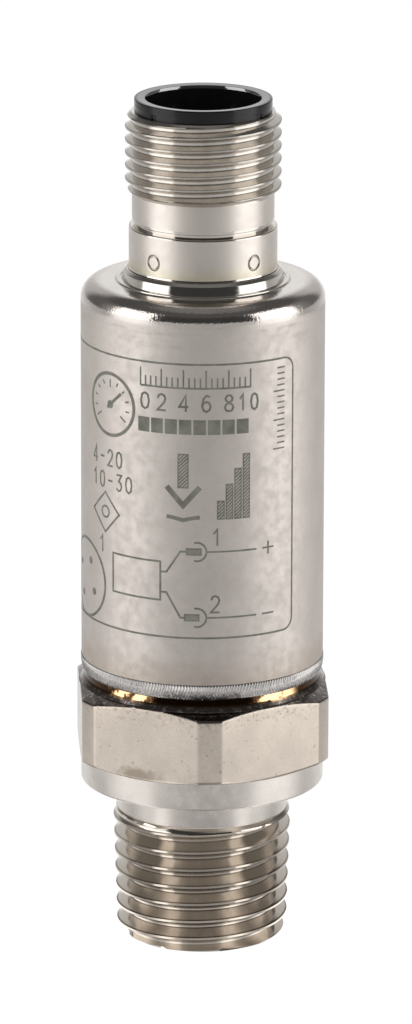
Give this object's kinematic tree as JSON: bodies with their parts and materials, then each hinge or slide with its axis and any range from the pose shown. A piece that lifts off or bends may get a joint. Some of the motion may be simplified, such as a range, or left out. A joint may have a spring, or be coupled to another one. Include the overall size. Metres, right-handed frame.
{
  "type": "pressure transmitter",
  "caption": "Slim stainless pressure transmitter with a wrench hexagon, a tapered male pipe thread below and a round threaded plug with contact pins on top.",
  "frame": {"origin": "centre of the process end face, at the bottom of the pipe thread", "axes": "+Z along the axis towards the plug; -Y is the front, where the etched marking is"},
  "size_m": [0.0194, 0.021, 0.0664],
  "materials": {
    "turned_steel": "turned, fine tool marks",
    "cell_steel": "turned, satin",
    "gauge_film": "thin metal film",
    "board_green": "satin solder mask",
    "lead_film": "amber film",
    "holder_plastic": "matte moulded",
    "chip_plastic": "matte moulded",
    "capacitor_ceramic": "matte",
    "resistor_ceramic": "satin",
    "solder": "bright solder",
    "gold_contact": "gold plated, bright",
    "carrier_plastic": "satin black",
    "seal_rubber": "matte",
    "sleeve_steel": "turned, bright",
    "housing_steel": "fine blasted",
    "weld_metal": "rippled weld",
    "insulation_film": "translucent film",
    "spring_bronze": "bright bronze"
  },
  "bodies": {
    "root": {"process_connection": "turned_steel", "measuring_cell": "cell_steel", "cell_weld": "cell_steel", "strain_gauges": "gauge_film", "cell_board": "board_green", "flex_lead": "lead_film", "board_holder": "holder_plastic", "main_board": "board_green", "signal_chip": "chip_plastic", "voltage_regulator": "chip_plastic", "capacitors": "capacitor_ceramic", "resistors": "resistor_ceramic", "protection_diodes": "chip_plastic", "connector_board": "board_green", "pin_solder": "solder", "contact_pin_1": "gold_contact", "contact_pin_2": "gold_contact", "contact_pin_3": "gold_contact", "contact_pin_4": "gold_contact", "contact_carrier": "carrier_plastic", "carrier_seal": "seal_rubber", "sleeve_seal": "seal_rubber", "threaded_sleeve": "sleeve_steel", "housing_tube": "housing_steel", "housing_weld": "weld_metal", "insulating_tube": "insulation_film", "ground_spring": "spring_bronze"}
  },
  "joints": []
}
